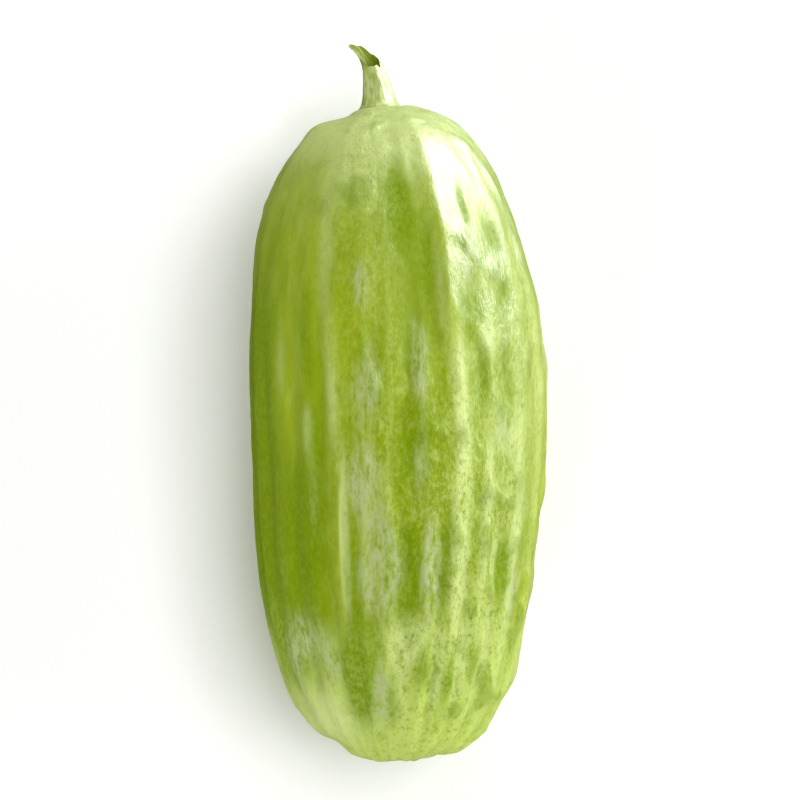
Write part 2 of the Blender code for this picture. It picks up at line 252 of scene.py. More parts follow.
PALE_LINES_AND_LIGHT = (
    Spot(-20, 69, 22, 1.2, 1.8),
    Spot(-27, 160, 32, 4.0, 0.5),
    Spot(-24, 112, 22, 2.6, 0.6),
    Spot(-49, 124, 13, 2.4, 0.55),
    Spot(-35.5, 104, 8, 1.8, 1.1),
    Spot(-33, 84, 12, 1.8, 0.8),
    Spot(-42, 56, 12, 1.6, 0.4),
    Spot(18, 144, 18, 2.0, 0.6),
    Spot(23, 118, 11, 2.6, 1.0),
    Spot(25, 68, 26, 3.2, 1.4),
    Spot(36, 72, 26, 1.8, 0.8),
    Spot(43, 62, 14, 1.5, 0.8),
    Spot(54, 66, 30, 2.0, 0.9),
    Spot(4, 42, 8, 6.0, 1.5),
    Spot(1, 28, 14, 2.4, 0.7),
    Spot(18.5, 32, 14, 2.0, 1.1),
    Spot(31, 34, 14, 2.0, 1.1),
    Spot(44, 36, 14, 2.0, 0.9),
    # painted light: a paler lower left of the blossom end, standing in for light falling there
    Spot(-50, 16, 15, 20, 1.0),
    # painted light: these two make the lit right side paler, standing in for its light and sheen
    Spot(72, 110, 72, 16, 0.5),
    Spot(44, 105, 85, 13, 0.35),
    Spot(36, 131, 5, 3.0, 0.8),
    Spot(46, 100, 4, 4.0, 0.9),
    Spot(25, 100, 10, 2.8, 0.8),
    Spot(10, 186, 12, 22, 0.6),
)

# Where it lies
REST_STATION = 0.1010
REST_HALF_ANGLE_DEG = 24
REST_HALF_LENGTH = 0.034
REST_TILT_DEG = 1.2

# Stem
STEM_GAP = 0.0003
STEM_FOOT_RADIUS = 0.0050
STEM_FLARE = 0.0006
STEM_FLARE_LENGTH = 0.0022
STEM_SLIMS_BY = 0.0029
STEM_SLIM_LENGTH = 0.020
STEM_LEAN_DEG = 7
STEM_HOOK_DEG = 50
STEM_HOOK_POWER = 2.3
STEM_HOOK_LENGTH = 0.022
STEM_PATH_START = -0.002
STEM_PATH_END = 1.3 * STEM_HOOK_LENGTH
STEM_PATH_SAMPLES = 700
STEM_RIDGES = 5
STEM_RIDGE_SHARE = 0.07
TEAR_START = 0.0118
TEAR_REACH = 0.0092
TEAR_POWER = 1.1
TEAR_FACES_DEG = 58
TEAR_POINT = 0.0022
TEAR_POINT_HALF_ANGLE = 0.42
TEAR_RAGGED = 0.00045
TEAR_WAVES = ((1.0, 5, 0.6), (0.6, 9, 2.1))
TEAR_FLOOR = 0.0104
TEAR_SCOOP = 0.6

# The fine stem alone: its foot reaches through the gap into the seat and flares over it
FOOT_SINK = 0.0006
FOOT_FILLET = 0.0007
FOOT_FILLET_LENGTH = 0.0008
FOOT_SMOOTH_LENGTH = 0.002

# Its fibres: noise on a cylinder of radius 1, on which a metre of stem counts as the lengthwise number
FIBRE_FIELD = Field(1, 0.16, 2.0)
FIBRE_LENGTHWISE = 60
FIBRE_HEIGHT = 0.00010
CRINKLE_FIELD = Field(1, 0.0016, 8.0)
CRINKLE_HEIGHT = 0.00006

# Meshes: the solids' own grid, which places the fine ones, and the fine ones
SOLID_COLUMNS_PER_RIB = 4
SOLID_ROWS = 45
FINE_COLUMNS_PER_RIB = 15
FINE_ROWS = 262
END_CROWDING = 0.42
CURVE_SAMPLES = 3000
LOOKUP_ROWS = 400
STEM_COLUMNS = 120
STEM_ROWS = 150
TEAR_ROWS = 24
SKIN_ATTRIBUTES = "groove relief silver dark pale fine station calm lively scar".split()

# Camera: the photograph's 800 pixels span this width at the height of the fruit's middle
PHOTO_SPAN = 0.2462
LENS_MM = 120
SENSOR_MM = 36
CAMERA_SHIFT_X = 0.0005
CAMERA_SHIFT_Y = 0.0004

# Lights that face the fruit: the direction they stand in, then metres, metres, watts and colour
Light = namedtuple("Light", "name direction distance size power colour")
WHITE = (1, 1, 1)
SHINE = Light("shine", (0.70, 0.72, 0.10), 1.0, (0.75, 0.40), 36, (0.92, 0.95, 1.0))
SOFT_LIGHTS = (
    Light("key", (1.0, 0.10, 0.10), 2.2, (1.5, 0.8), 44, WHITE),
    Light("top", (0.32, 0.08, 1.0), 2.6, (1.4, 1.4), 46, WHITE),
    Light("stem side", (-0.05, 1.0, 0.35), 2.0, (1.2, 0.8), 18, WHITE),
    Light("blossom side", (-0.65, -1.0, 0.35), 2.0, (1.2, 0.8), 22, WHITE),
)
SKY_STRENGTH = 0.15
FLOOR_HALF = 2.5

# Colours, linear
FLOOR_WHITE = (0.97, 0.97, 0.965, 1)
MID_GREEN = (0.335, 0.435, 0.010, 1)
DEEP_GREEN = (0.250, 0.350, 0.002, 1)
GROOVE_GREEN = (0.158, 0.253, 0.0, 1)
CREST_GREEN = (0.51, 0.63, 0.15, 1)
SHOULDER_GREEN = (0.52, 0.64, 0.20, 1)
BLOSSOM_GREEN = (0.53, 0.67, 0.135, 1)
STRAND_GREEN = (0.45, 0.55, 0.02, 1)
SILVER_GREEN = (0.43, 0.51, 0.21, 1)
PALE_GREEN = (0.62, 0.72, 0.27, 1)
SPECK_GREEN = (0.54, 0.66, 0.18, 1)
GROUND_YELLOW = (0.60, 0.60, 0.20, 1)
SCAR_TAN = (0.34, 0.32, 0.09, 1)
STALK_GREEN = (0.37, 0.46, 0.085, 1)
STALK_PALE = (0.51, 0.60, 0.25, 1)
STALK_DRY = (0.20, 0.27, 0.015, 1)
STALK_FLECK = (0.20, 0.25, 0.03, 1)
# the torn end's deep green, darkened further as painted shade in its hollow
TORN_GREEN_AND_SHADE = (0.10, 0.16, 0.002, 1)
TORN_TIP = (0.22, 0.29, 0.03, 1)


def smoothstep(x):
    x = np.clip(x, 0.0, 1.0)
    return x * x * (3 - 2 * x)


def half_outline(length, fullness, taper):
    """A superellipse quarter from the pole to the widest section: distance from there, and radius."""
    turn = np.linspace(0, math.pi / 2, CURVE_SAMPLES)
    along = np.cos(turn) ** (2 / fullness)
    radius = MAX_RADIUS * np.sin(turn) ** (2 / fullness) * (1 - taper * along**TAPER_POWER)
    return along * length, radius


def outline():
    """The turned outline from the blossom pole to the rim of the stem's seat: y and radius."""
    along, radius = half_outline(BLOSSOM_HALF, BLOSSOM_FULLNESS, BLOSSOM_TAPER)
    dimple = DIMPLE_DEPTH * np.exp(-((radius / DIMPLE_RADIUS) ** 2))
    scar = SCAR_HEIGHT * np.exp(-((radius / SCAR_RADIUS) ** 4))
    blossom = np.stack((-along + dimple - scar, radius), 1)
    along, radius = half_outline(STEM_HALF, STEM_FULLNESS, STEM_TAPER)
    collar = COLLAR_HEIGHT * np.exp(-((radius / COLLAR_RADIUS) ** 2))
    stem = np.stack((along + collar, radius), 1)[::-1]
    curve = np.concatenate((blossom, stem[1:]))
    return curve[(curve[:, 0] < 0) | (curve[:, 1] >= SEAT_RADIUS)]


def meridian(rows):
    """Stations along the outline, closer together at its ends: y, radius and the outward normal."""
    curve = outline()
    steps = np.linalg.norm(np.diff(curve, axis=0), axis=1)
    length = np.concatenate(([0], np.cumsum(steps)))
    even = np.linspace(0, 1, rows)
    wanted = length[-1] * (even - END_CROWDING / (2 * math.pi) * np.sin(2 * math.pi * even))
    y = np.interp(wanted, length, curve[:, 0])
    radius = np.interp(wanted, length, curve[:, 1])
    slope_y = np.gradient(y, wanted)
    slope_radius = np.gradient(radius, wanted)
    size = np.hypot(slope_y, slope_radius)
    return y, radius, -slope_radius / size, slope_y / size


def crest_azimuths():
    """Azimuth of every rib's crest, in radians, going round once."""
    draw = random.Random(SEED)
    first, last = FACE_CRESTS_DEG[-1], FACE_CRESTS_DEG[0] + 360
    spacing = (last - first) / (BACK_RIBS + 1)
    even = [first + spacing * (i + 1) for i in range(BACK_RIBS)]
    back = [azimuth + draw.uniform(-BACK_JITTER_DEG, BACK_JITTER_DEG) for azimuth in even]
    return np.radians([*FACE_CRESTS_DEG, *back])


def smooth_noise(points, field):
    """Perlin noise at each point, with features about the field's size."""
    flat = (points * (1, field.lengthwise, 1)).reshape(-1, 3) / field.size + field.offset
    return np.array([noise.noise(Vector(p)) for p in flat]).reshape(points.shape[:-1])


def base_point(azimuth, y, radius):
    """Points of the turned body at an azimuth, a station's y and a radius."""
    return np.stack(np.broadcast_arrays(radius * np.sin(azimuth), y, radius * np.cos(azimuth)), -1)


def seeded_spot(draw, azimuth, ranges):
    """A spot at that azimuth, whose other values are drawn from the ranges."""
    return Spot(azimuth, *(draw.uniform(*limits) for limits in ranges))


def all_relief():
    """The pits and knuckles of the face, and seeded pits in the grooves of the back."""
    draw = random.Random(SEED)
    crests = np.degrees(crest_azimuths())
    back = crests[len(FACE_CRESTS_DEG) - 1 :]
    pits = []
    for _ in range(BACK_PITS):
        rib = draw.randrange(len(back) - 1)
        off_groove = draw.uniform(-BACK_PIT_OFF_GROOVE_DEG, BACK_PIT_OFF_GROOVE_DEG)
        azimuth = (back[rib] + back[rib + 1]) / 2 + off_groove
        pits.append(seeded_spot(draw, azimuth, BACK_PIT_RANGES))
    return [*FACE_RELIEF, *pits]


def silver_patches():
    """The patches of the face, and seeded ones round the back."""
    draw = random.Random(SEED + 1)
    first = FACE_CRESTS_DEG[-1] + BACK_SILVER_MARGIN_DEG
    last = FACE_CRESTS_DEG[0] + 360 - BACK_SILVER_MARGIN_DEG
    back = [seeded_spot(draw, draw.uniform(first, last), BACK_SILVER_RANGES) for _ in range(BACK_SILVER)]
    return [*SILVER_PATCHES, *back]


def raised(points, spots):
    """Sum of the spots' rounded bumps at each point of the turned body, before it bows."""
    y, radius, normal_y, normal_radius = meridian(LOOKUP_ROWS)
    height = np.zeros(points.shape[:-1])
    for spot in spots:
        azimuth = math.radians(spot.azimuth)
        spot_y = spot.station * MM - BLOSSOM_HALF
        row = int(np.argmin(np.abs(y - spot_y)))
        centre = base_point(azimuth, y[row], radius[row])
        around = np.array((math.cos(azimuth), 0, -math.sin(azimuth)))
        out = base_point(azimuth, normal_y[row], normal_radius[row])
        lengthwise = np.cross(out, around)
        away = points - centre
        across = (away @ around) / (spot.half_width * MM)
        along = (away @ lengthwise) / (spot.half_length * MM)
        near = np.abs(away @ out) < MAX_RADIUS / 2
        height += spot.height * MM * np.exp(-(across**2) - along**2) * near
    return height


def degrees_from_top(azimuth):
    """The azimuth in degrees, from -180 to 180."""
    return np.degrees(np.angle(np.exp(1j * azimuth)))


def rest_share(azimuth, y):
    """1 in the middle of the spot that the fruit lies on, 0 away from it."""
    turned = degrees_from_top(azimuth - math.pi)
    along = (y - (REST_STATION - BLOSSOM_HALF)) / REST_HALF_LENGTH
    return np.exp(-((turned / REST_HALF_ANGLE_DEG) ** 4) - along**4)


def bow(points):
    """Leans the stem half to -X along a smooth curve, turning each cross-section with it."""
    share = np.clip(points[..., 1] / STEM_HALF, 0, None)
    lean = -np.arctan(BOW_POWER * BOW / STEM_HALF * share ** (BOW_POWER - 1))
    across = points[..., 0]
    bent = points.copy()
    bent[..., 0] = -BOW * share**BOW_POWER + across * np.cos(lean)
    bent[..., 1] = points[..., 1] - across * np.sin(lean)
    return bent


def tilt(points):
    """Turns points about the X axis so that the fruit lies level on its flat spot."""
    angle = math.radians(REST_TILT_DEG)
    y, z = points[..., 1], points[..., 2]
    turned = points.copy()
    turned[..., 1] = y * math.cos(angle) - z * math.sin(angle)
    turned[..., 2] = y * math.sin(angle) + z * math.cos(angle)
    return turned


def rib_share(azimuth):
    """How deep the ribs are at each azimuth: faint on two smoother faces, full elsewhere."""
    turned = degrees_from_top(azimuth)
    share = np.ones_like(turned)
    for middle, spread, loss in FAINT_RIBS:
        share -= loss * np.exp(-(((turned - middle) / spread) ** 2))
    return share


def area_strength(azimuth, y, area):
    """The area's strength in its middle, falling to 0 away from it."""
    across = (degrees_from_top(azimuth) - area.azimuth) / area.half_angle
    along = ((y + BLOSSOM_HALF) / MM - area.station) / area.half_length
    return area.strength * np.exp(-(across**area.steepness) - along**4)


def liveliness(azimuth, y):
    """How marked the small forms and flecks are: 1 is usual, and it differs in four areas."""
    areas = (SMOOTH_FACE, SMOOTH_GROOVE, CRUMPLED_FACE, PEBBLED_FACE)
    smooth_face, smooth_groove, crumpled, pebbled = (area_strength(azimuth, y, area) for area in areas)
    return 1 - smooth_face - smooth_groove + np.maximum(crumpled, pebbled)


def skin_grid(rib_steps, rows):
    """The ribbed skin as rows of columns, in the fruit's own frame, with facts about each of its points.

    Start is the point before its relief, seat is 0 beside the stem's seat, calm is 0 in the middle of the spot
    that the fruit lies on, and station goes from 0 at the blossom end to 1 at the stem.
    """
    y, radius, normal_y, normal_radius = (a[1:, None] for a in meridian(rows + 1))
    crests = crest_azimuths()
    ribs = len(crests)
    position = np.arange(ribs * rib_steps)[None, :] / rib_steps
    azimuth = np.interp(position, np.arange(ribs + 1), [*crests, crests[0] + 2 * math.pi])
    start = base_point(azimuth, y, radius)
    azimuth = azimuth + smooth_noise(start, WANDER_FIELD) * math.radians(WANDER_DEG) * 2
    start = base_point(azimuth, y, radius)

    station_share = (y + BLOSSOM_HALF) / (BLOSSOM_HALF + STEM_HALF)
    strength = BLOSSOM_GROOVES + (STEM_GROOVES - BLOSSOM_GROOVES) * station_share
    strength = strength * (1 + GROOVES_VARY_BY * smooth_noise(start, GROOVE_FIELD))
    groove = np.abs(np.sin(math.pi * position)) ** GROOVE_SHARPNESS
    full = smoothstep(radius / FULL_RIB_RADIUS) * rib_share(azimuth)
    ribs_in = -GROOVE_DEPTH * strength * groove * full
    ridges = np.radians([*RIDGES_DEG, RIDGES_DEG[0] + 360])
    face = np.interp(azimuth, ridges, np.arange(len(ridges)))
    faces_in = -FACE_SINK * np.abs(np.sin(math.pi * face)) ** GROOVE_SHARPNESS * radius / MAX_RADIUS
    lumps = LUMP_HEIGHT * smooth_noise(start, LUMP_FIELD)
    calm = 1 - rest_share(azimuth, y)
    seat = smoothstep((radius - SEAT_RADIUS) / SMOOTH_ROUND_SEAT)
    relief = raised(start, all_relief())
    height = (ribs_in + faces_in + lumps + relief) * calm * seat
    out = base_point(azimuth, normal_y, normal_radius)
    shape = tilt(bow(start + out * height[..., None]))
    scar = np.exp(-((radius / SCAR_RADIUS) ** 2)) * (y < 0)
    facts = {
        "start": start,
        "seat": seat,
        "groove": groove * full,
        "relief": relief / MM,
        "silver": raised(start, silver_patches()) / MM,
        # dark and pale carry painted shade and painted light as well as the skin's own deeper and paler marks
        "dark": raised(start, DARK_PLACES_AND_SHADE) / MM,
        "pale": raised(start, PALE_LINES_AND_LIGHT) / MM,
        "station": np.broadcast_to(station_share, relief.shape),
        "calm": calm,
        "lively": liveliness(azimuth, y),
        "scar": np.broadcast_to(scar, relief.shape),
    }
    return shape, facts


def blossom_pole():
    """The point that closes the skin at its blossom end, in the fruit's own frame."""
    return tilt(bow(base_point(0.0, meridian(LOOKUP_ROWS)[0][0], 0.0)))


def placement():
    """How far the fruit's own frame lies from the model's, from the box of the solid made the same way."""
    shape, _ = skin_grid(SOLID_COLUMNS_PER_RIB, SOLID_ROWS)
    points = np.array([*shape.reshape(-1, 3), blossom_pole()])
    low, high = points.min(0), points.max(0)
    cad_low, cad_high = (np.array(corner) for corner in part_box("fruit"))
    shift = (cad_low + cad_high - low - high) / 2
    shift[2] = cad_high[2] - high[2]
    return shift


def grid_normals(grid):
    """Outward unit normals of a grid that closes round its columns."""
    wrapped = np.concatenate((grid[:, -1:], grid, grid[:, :1]), 1)
    around = wrapped[:, 2:] - wrapped[:, :-2]
    along = np.gradient(grid, axis=0)
    out = np.cross(along, around)
    return out / np.linalg.norm(out, axis=-1, keepdims=True)


def fine_height(facts):
    """Small knuckles along the ribs, chains of dents in the grooves, and a fine grain."""
    start, groove = facts["start"], facts["groove"]
    knuckles = KNUCKLE_HEIGHT * smooth_noise(start, KNUCKLE_FIELD) * (1 - KNUCKLE_LOSS_IN_GROOVES * groove)
    slanted = start + start[..., [1, 1, 1]] * (DENT_SLANT, 0, 0)
    dents = np.clip(smooth_noise(slanted, DENT_FIELD) - DENT_THRESHOLD, 0, None)
    dents = DENT_DEPTH * dents * (1 + groove) / 2
    strands = STRAND_HEIGHT * smooth_noise(start, STRAND_FIELD)
    grain = GRAIN_HEIGHT * smooth_noise(start, GRAIN_FIELD)
    return (knuckles - dents + strands + grain) * facts["lively"]


def make_mesh(name, vertices, faces, attributes):
    """A smooth mesh with one float attribute per name, in the scene."""
    mesh = bpy.data.meshes.new(name)
    mesh.from_pydata([tuple(v) for v in vertices], [], faces)
    mesh.shade_smooth()
    for label, values in attributes.items():
        mesh.attributes.new(label, "FLOAT", "POINT").data.foreach_set("value", values)
    made = bpy.data.objects.new(name, mesh)
    bpy.context.collection.objects.link(made)
    return made


def band_faces(rows, columns):
    """Quads between neighbouring rings of a grid that closes round its columns."""
    faces = []
    for row in range(rows - 1):
        for column in range(columns):
            after = (column + 1) % columns
            low, high = row * columns, (row + 1) * columns
            faces.append((low + column, low + after, high + after, high + column))
    return faces


def fan_faces(ring_start, columns, hub):
    """Triangles from a ring to one point that lies before it."""
    return [(ring_start + (column + 1) % columns, ring_start + column, hub) for column in range(columns)]


def make_skin(shift):
    """The ribbed skin with its small forms, closed at the blossom pole and across the seat."""
    grid, facts = skin_grid(FINE_COLUMNS_PER_RIB, FINE_ROWS)
    fine = fine_height(facts) * facts["calm"] * facts["seat"]
    facts["fine"] = fine / MM
    grid = grid + grid_normals(grid) * fine[..., None] + shift
    grid[..., 2] = np.maximum(grid[..., 2], 0)
    rows, columns, _ = grid.shape
    vertices = np.array([*grid.reshape(-1, 3), blossom_pole() + shift])
    faces = band_faces(rows, columns)
    faces += fan_faces(0, columns, rows * columns)
    faces.append(tuple(range((rows - 1) * columns, rows * columns)))
    values = {label: facts[label].ravel() for label in SKIN_ATTRIBUTES}
    return make_mesh("melon_skin", vertices, faces, {label: [*v, v[0]] for label, v in values.items()})


def stem_section(distance):
    """Centre, sideways direction and radius of the stem at each distance from its foot."""
    fine = np.linspace(STEM_PATH_START, STEM_PATH_END, STEM_PATH_SAMPLES)
    ahead = np.clip(fine, 0, None)
    turn = np.radians(STEM_LEAN_DEG + STEM_HOOK_DEG * (ahead / STEM_HOOK_LENGTH) ** STEM_HOOK_POWER)
    step = fine[1] - fine[0]
    start = np.argmin(np.abs(fine))
    path_x = -np.cumsum(np.sin(turn)) * step
    path_y = np.cumsum(np.cos(turn)) * step
    x = np.interp(distance, fine, path_x - path_x[start])
    y = np.interp(distance, fine, path_y - path_y[start])
    turned = np.interp(distance, fine, turn)
    sideways = np.stack((np.cos(turned), np.sin(turned), np.zeros_like(turned)), -1)
    centre = np.stack((x, y, np.zeros_like(x)), -1)
    radius = STEM_FOOT_RADIUS - STEM_SLIMS_BY * smoothstep(distance / STEM_SLIM_LENGTH)
    above_foot = np.clip(distance, 0, None)
    radius = radius + STEM_FLARE * np.exp(-above_foot / STEM_FLARE_LENGTH)
    radius = radius + FOOT_FILLET * np.exp(-above_foot / FOOT_FILLET_LENGTH)
    return centre, sideways, radius


def torn_reach(angle):
    """How far the stem's wall reaches at each angle round it: least where the tear faces, most behind."""
    turned = np.mod(angle - math.radians(TEAR_FACES_DEG), 2 * math.pi)
    back = (0.5 - 0.5 * np.cos(turned)) ** TEAR_POWER
    point = np.exp(-(((turned - math.pi) / TEAR_POINT_HALF_ANGLE) ** 2))
    ragged = sum(share * np.sin(count * turned + phase) for share, count, phase in TEAR_WAVES)
    return TEAR_START + TEAR_REACH * back + TEAR_POINT * point + TEAR_RAGGED * ragged


def make_stem(shift):
    """The ridged, fibrous stem with its scooped tear."""
    columns = STEM_COLUMNS
    angle = np.arange(columns)[None, :] * 2 * math.pi / columns
    reach = torn_reach(angle)
    up_wall = np.linspace(0, 1, STEM_ROWS)[:, None]
    inward = np.linspace(0, 1, TEAR_ROWS + 2)[1:-1, None]
    wall = up_wall * (reach + FOOT_SINK) - FOOT_SINK
    distance = np.concatenate((wall, reach + inward * (TEAR_FLOOR - reach)))
    wall_share = np.concatenate((np.ones_like(up_wall), (1 - inward) ** TEAR_SCOOP))
    centre, sideways, radius = stem_section(distance)
    ridge = 1 + STEM_RIDGE_SHARE * np.cos(STEM_RIDGES * angle) * smoothstep(distance / STEM_FOOT_RADIUS)
    spread = (radius * ridge * wall_share)[..., None]
    up = np.array((0.0, 0.0, 1.0))
    rings = centre + spread * (np.cos(angle)[..., None] * sideways + np.sin(angle)[..., None] * up)
    lengthwise = distance * FIBRE_LENGTHWISE
    round_it = np.stack(np.broadcast_arrays(np.cos(angle), np.sin(angle), lengthwise), -1)
    fibres = smooth_noise(round_it, FIBRE_FIELD)
    crinkle = smooth_noise(rings, CRINKLE_FIELD)
    height = FIBRE_HEIGHT * fibres + CRINKLE_HEIGHT * crinkle
    height = height * smoothstep(distance / FOOT_SMOOTH_LENGTH)
    rings = rings + grid_normals(rings[:, ::-1])[:, ::-1] * height[..., None]

    seat_y = meridian(LOOKUP_ROWS)[0][-1]
    foot = bow(np.array((0.0, seat_y + STEM_GAP, 0.0)))
    middle = stem_section(TEAR_FLOOR)[0]
    vertices = tilt(np.array([*rings.reshape(-1, 3), middle]) + foot) + shift
    rows = len(rings)
    faces = [face[::-1] for face in band_faces(rows, columns)]
    faces += fan_faces((rows - 1) * columns, columns, rows * columns)
    faces.append(tuple(range(columns)))
    inside = np.broadcast_to(inward, (TEAR_ROWS, columns))
    torn = np.concatenate((np.zeros((STEM_ROWS, columns)), inside))
    facts = {"torn": torn, "along": distance / (TEAR_START + TEAR_REACH), "fibre": fibres}
    values = {label: grid.ravel() for label, grid in facts.items()}
    return make_mesh("melon_stem", vertices, faces, {label: [*v, v[-1]] for label, v in values.items()})


class Shading:
    """A Principled material whose node inputs are built up by short calls."""

    # The Mix node's colour sockets, by number, because others have the same names
    MIX_COLOURS = (6, 7)
    MIXED_COLOUR = 2

    def __init__(self, name):
        self.material = bpy.data.materials.new(name)
        self.material.use_nodes = True
        self.nodes = self.material.node_tree.nodes
        self.links = self.material.node_tree.links
        self.shader = self.nodes["Principled BSDF"]
        self.place = self.nodes.new("ShaderNodeTexCoord").outputs["Object"]

    def set(self, socket, value):
        """Links a node's output to the socket, or sets the socket's own value."""
        if isinstance(value, bpy.types.NodeSocket):
            self.links.new(value, socket)
        else:
            socket.default_value = value

    def surface(self, label, value):
        """Sets one of the shader's inputs."""
        self.set(self.shader.inputs[label], value)

    def scatter(self, weight, radius):
        """Lets light some way into the flesh: metres for red, green and blue."""
        self.surface("Subsurface Weight", weight)
        self.surface("Subsurface Radius", radius)
        self.surface("Subsurface Scale", 1.0)

    def attribute(self, name):
        node = self.nodes.new("ShaderNodeAttribute")
        node.attribute_name = name
        return node.outputs["Fac"]

    def math(self, operation, first, second, clamp=False):
        node = self.nodes.new("ShaderNodeMath")
        node.operation = operation
        node.use_clamp = clamp
        self.set(node.inputs[0], first)
        self.set(node.inputs[1], second)
        return node.outputs[0]

    def plus(self, first, second):
        return self.math("ADD", first, second)

    def times(self, first, second, clamp=False):
        return self.math("MULTIPLY", first, second, clamp)

    def larger(self, first, second):
        return self.math("MAXIMUM", first, second)

    def band(self, value, low, high, result_low=0.0, result_high=1.0):
        """Maps low..high smoothly to result_low..result_high."""
        node = self.nodes.new("ShaderNodeMapRange")
        node.interpolation_type = "SMOOTHSTEP"
        labels = ("Value", "From Min", "From Max", "To Min", "To Max")
        for label, given in zip(labels, (value, low, high, result_low, result_high)):
            self.set(node.inputs[label], given)
        return node.outputs[0]

    def noise(self, scale, detail, lengthwise=1.0, roughness=0.5):
        """Noise with features that are drawn out along the fruit where lengthwise is below 1."""
        mapping = self.nodes.new("ShaderNodeMapping")
        self.set(mapping.inputs["Vector"], self.place)
        mapping.inputs["Scale"].default_value = (1, lengthwise, 1)
        node = self.nodes.new("ShaderNodeTexNoise")
        self.set(node.inputs["Vector"], mapping.outputs[0])
        node.inputs["Scale"].default_value = scale
        node.inputs["Detail"].default_value = detail
        node.inputs["Roughness"].default_value = roughness
        return node.outputs[0]

    def mix(self, share, first, second):
        """The first colour, with that share of the second."""
        node = self.nodes.new("ShaderNodeMix")
        node.data_type = "RGBA"
        self.set(node.inputs["Factor"], share)
        for socket, colour in zip(self.MIX_COLOURS, (first, second)):
            self.set(node.inputs[socket], colour)
        return node.outputs[self.MIXED_COLOUR]

    def bump(self, height, distance, strength, under=None):
        """Fine relief of that height in metres, on top of another bump where one is given."""
        node = self.nodes.new("ShaderNodeBump")
        node.inputs["Strength"].default_value = strength
        node.inputs["Distance"].default_value = distance
        self.set(node.inputs["Height"], height)
        if under is not None:
            self.set(node.inputs["Normal"], under)
        return node.outputs[0]


def rind_ground(look, station, lively):
    """Mottled greens, paler on the shoulder by the stem and at the blossom end."""
    mottle = look.noise(34, 3.0, 0.35)
    colour = look.mix(look.band(mottle, 0.36, 0.66), MID_GREEN, DEEP_GREEN)
    shoulder = look.times(look.band(station, 0.78, 0.98, 0.0, 0.85), lively, clamp=True)
    shoulder = look.larger(shoulder, look.band(station, 0.88, 0.97, 0.0, 0.95))
    colour = look.mix(shoulder, colour, SHOULDER_GREEN)
    blossom = look.plus(station, look.times(look.noise(85, 3.0, 0.15), 0.16))
    return look.mix(look.band(blossom, 0.34, 0.27, 0.0, 0.9), colour, BLOSSOM_GREEN)


def rind_lines(look, colour, station, lively, uneven):
    """Broken pale crests on the ribs, pale lines beside them and yellower strands."""
    broken = look.band(look.noise(90, 2.0, 0.15), 0.42, 0.68)
    crest = look.times(look.band(look.attribute("groove"), 0.22, 0.0), broken)
    crest = look.times(crest, look.band(station, 0.95, 0.6, 0.1, 0.35))
    colour = look.mix(look.times(crest, lively, clamp=True), colour, CREST_GREEN)
    ragged = look.plus(look.attribute("pale"), look.times(uneven, 0.6))
    colour = look.mix(look.band(ragged, 0.35, 1.20, 0.0, 0.8), colour, PALE_GREEN)
    strands = look.band(look.noise(420, 2.0, 0.08), 0.50, 0.72, 0.0, 0.24)
    return look.mix(strands, colour, STRAND_GREEN)


def rind_flecks(look, colour, lively, mealy):
    """Light and dark blotches, pale specks and dark pores."""
    blotches = look.noise(230, 4.0, 0.5, 0.62)
    flecks = (
        (look.band(blotches, 0.50, 0.68, 0.0, 0.40), CREST_GREEN),
        (look.band(blotches, 0.48, 0.30, 0.0, 0.40), DEEP_GREEN),
        (look.band(mealy, 0.48, 0.70, 0.0, 0.34), SPECK_GREEN),
        (look.band(mealy, 0.52, 0.28, 0.0, 0.42), GROOVE_GREEN),
    )
    for share, green in flecks:
        colour = look.mix(look.times(share, lively), colour, green)
    return colour


def rind_depths_and_shade(look, colour, station, deep):
    """Deeper green in the dark places, the pits and the grooves: partly the skin's own deeper green, partly
    painted shade, down the left side turned from the light, beside the lit ridge and in the hollows of the
    pits and grooves.
    """
    # painted shade in part: darker green down in the pits
    pit_shade = look.plus(look.attribute("relief"), look.times(look.attribute("fine"), 1.6))
    pit_shade = look.times(look.band(pit_shade, -0.10, -1.0, 0.0, 0.5), look.band(station, 0.05, 0.10))
    groove = look.band(look.attribute("groove"), 0.3, 1.0)
    low = look.larger(look.times(groove, look.band(station, 1.0, 0.55, 0.05, 0.25)), pit_shade)
    return look.mix(look.larger(deep, low), colour, GROOVE_GREEN)


def rind_silver(look, colour):
    """Crinkled silvery patches with dark creases: the colour, and the height of their crinkles."""
    ragged = look.plus(look.attribute("silver"), look.noise(150, 3.0, 0.3))
    patch = look.band(ragged, 0.60, 1.40)
    crinkle = look.noise(900, 3.0, 0.4, 0.6)
    streaks = look.plus(look.noise(560, 2.0, 0.16), crinkle)
    milky = look.band(streaks, 0.84, 1.18, 0.25, 1.0)
    colour = look.mix(look.times(patch, milky), colour, SILVER_GREEN)
    creases = look.times(look.band(ragged, 0.50, 0.80), look.band(streaks, 0.92, 0.70, 0.0, 0.40))
    return look.mix(creases, colour, GROOVE_GREEN), look.times(patch, crinkle)


